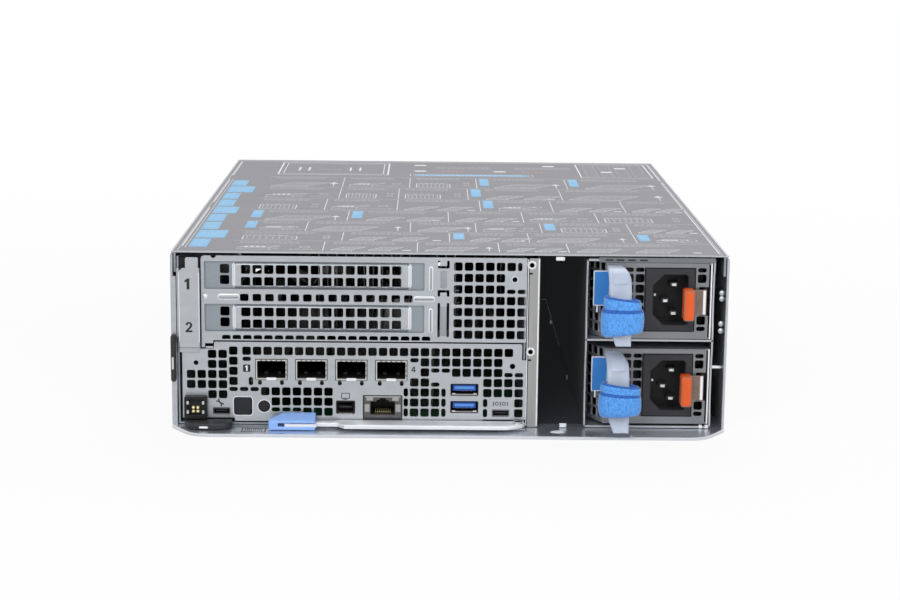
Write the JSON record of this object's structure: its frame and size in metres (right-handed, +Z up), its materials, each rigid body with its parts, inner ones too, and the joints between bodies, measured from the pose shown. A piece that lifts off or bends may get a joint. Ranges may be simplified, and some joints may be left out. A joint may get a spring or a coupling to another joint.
{
  "type": "edge server",
  "caption": "Short-depth two-unit edge server with a slide-out compute sled, stacked power supplies and an empty bay.",
  "frame": {"origin": "on the underside of the chassis, midway across its width, below the front edge of the top cover", "axes": "+Z is up; +X is to the right when looking at the front with the sockets; +Y runs from that front to the exhaust panel"},
  "size_m": [0.27, 0.3856, 0.0868],
  "materials": {
    "zinc": "zinc-plated sheet, satin",
    "cover_label": "grey printed label over the whole lid",
    "dark_zinc": "dull shielding",
    "bright_steel": "bright plated steel",
    "black_plastic": "black moulding",
    "charcoal_plastic": "dark grey moulding",
    "blue_plastic": "light blue moulding",
    "strap": "blue hook-and-loop tape",
    "clear_plastic": "frosted translucent moulding",
    "orange_plastic": "orange dipped steel",
    "board": "green solder mask",
    "aluminium": "milled fins",
    "copper": "bare copper bar"
  },
  "bodies": {
    "chassis": {"chassis_tray": "zinc", "top_cover": "cover_label", "rear_panel": "zinc", "bay_divider": "zinc", "psu_cage": "zinc", "cage_pin": "bright_steel", "side_clip": "charcoal_plastic", "power_board": "board", "bus_bar_low": "copper", "bus_bar_high": "copper", "sled_power_socket": "black_plastic"},
    "sled": {"sled_tray": "zinc", "io_panel": "zinc", "card_panel": "zinc", "slot_filler_1": "zinc", "slot_filler_2": "zinc", "slot_latch_bracket": "zinc", "lever_pin": "bright_steel", "system_board": "board", "network_card": "board", "riser_card": "board", "processor": "charcoal_plastic", "heat_sink": "aluminium", "memory_module_1": "board", "memory_module_2": "board", "network_cage_1": "bright_steel", "network_cage_2": "bright_steel", "network_cage_3": "bright_steel", "network_cage_4": "bright_steel", "network_jack": "dark_zinc", "bus_jack": "bright_steel", "display_jack": "bright_steel", "service_jack": "bright_steel", "serial_jack": "bright_steel", "bezel_connector": "black_plastic", "fan_frame_1": "black_plastic", "fan_frame_2": "black_plastic", "fan_frame_3": "black_plastic", "sled_power_plug": "black_plastic"},
    "slot_latch": {"slot_latch": "zinc"},
    "sled_lever": {"sled_lever": "bright_steel"},
    "release_latch": {"release_latch": "blue_plastic"},
    "information_tag": {"information_tag": "charcoal_plastic"},
    "power_button": {"power_button": "charcoal_plastic"},
    "id_button": {"id_button": "charcoal_plastic"},
    "fan_rotor_1": {"fan_rotor_1": "charcoal_plastic"},
    "fan_rotor_2": {"fan_rotor_2": "charcoal_plastic"},
    "fan_rotor_3": {"fan_rotor_3": "charcoal_plastic"},
    "psu_1": {"psu_1_case": "zinc", "psu_1_face": "zinc", "psu_1_inlet": "charcoal_plastic", "psu_1_handle": "clear_plastic", "psu_1_strap": "strap"},
    "psu_1_latch": {"psu_1_latch": "orange_plastic"},
    "psu_2": {"psu_2_case": "zinc", "psu_2_face": "zinc", "psu_2_inlet": "charcoal_plastic", "psu_2_handle": "clear_plastic", "psu_2_strap": "strap"},
    "psu_2_latch": {"psu_2_latch": "orange_plastic"}
  },
  "joints": [
    {"name": "sled_slide", "type": "slide", "parent": "chassis", "child": "sled", "axis": [0, -1, 0], "range_m": [0, 0.33]},
    {"name": "slot_latch_hinge", "type": "hinge", "parent": "sled", "child": "slot_latch", "pos_m": [0, -0.0002, 0.0435], "axis": [1, 0, 0], "range_deg": [0, 80]},
    {"name": "sled_lever_hinge", "type": "hinge", "parent": "sled", "child": "sled_lever", "pos_m": [0.0338, -0.0046, 0.0026], "axis": [0, 0, 1], "range_deg": [0, 60]},
    {"name": "release_latch_slide", "type": "slide", "parent": "sled_lever", "child": "release_latch", "axis": [1, 0, 0], "range_m": [0, 0.0025], "stiffness_N_per_m": 600},
    {"name": "information_tag_slide", "type": "slide", "parent": "sled", "child": "information_tag", "axis": [0, -1, 0], "range_m": [0, 0.05]},
    {"name": "power_button_press", "type": "slide", "parent": "sled", "child": "power_button", "axis": [0, 1, 0], "range_m": [0, 0.0008], "stiffness_N_per_m": 1200},
    {"name": "id_button_press", "type": "slide", "parent": "sled", "child": "id_button", "axis": [0, 1, 0], "range_m": [0, 0.0008], "stiffness_N_per_m": 1200},
    {"name": "fan_1_spin", "type": "hinge", "parent": "sled", "child": "fan_rotor_1", "pos_m": [-0.1019, 0.294, 0.0286], "axis": [0, -1, 0], "continuous": true},
    {"name": "fan_2_spin", "type": "hinge", "parent": "sled", "child": "fan_rotor_2", "pos_m": [-0.0464, 0.294, 0.0286], "axis": [0, -1, 0], "continuous": true},
    {"name": "fan_3_spin", "type": "hinge", "parent": "sled", "child": "fan_rotor_3", "pos_m": [0.0091, 0.294, 0.0286], "axis": [0, -1, 0], "continuous": true},
    {"name": "psu_1_slide", "type": "slide", "parent": "chassis", "child": "psu_1", "axis": [0, -1, 0], "range_m": [0, 0.175]},
    {"name": "psu_1_latch_hinge", "type": "hinge", "parent": "psu_1", "child": "psu_1_latch", "pos_m": [0.1235, 0.03, 0.0461], "axis": [0, 0, -1], "range_deg": [0, 4], "stiffness_Nm_per_rad": 0.4},
    {"name": "psu_2_slide", "type": "slide", "parent": "chassis", "child": "psu_2", "axis": [0, -1, 0], "range_m": [0, 0.175]},
    {"name": "psu_2_latch_hinge", "type": "hinge", "parent": "psu_2", "child": "psu_2_latch", "pos_m": [0.1235, 0.03, 0.0036], "axis": [0, 0, -1], "range_deg": [0, 4], "stiffness_Nm_per_rad": 0.4}
  ]
}
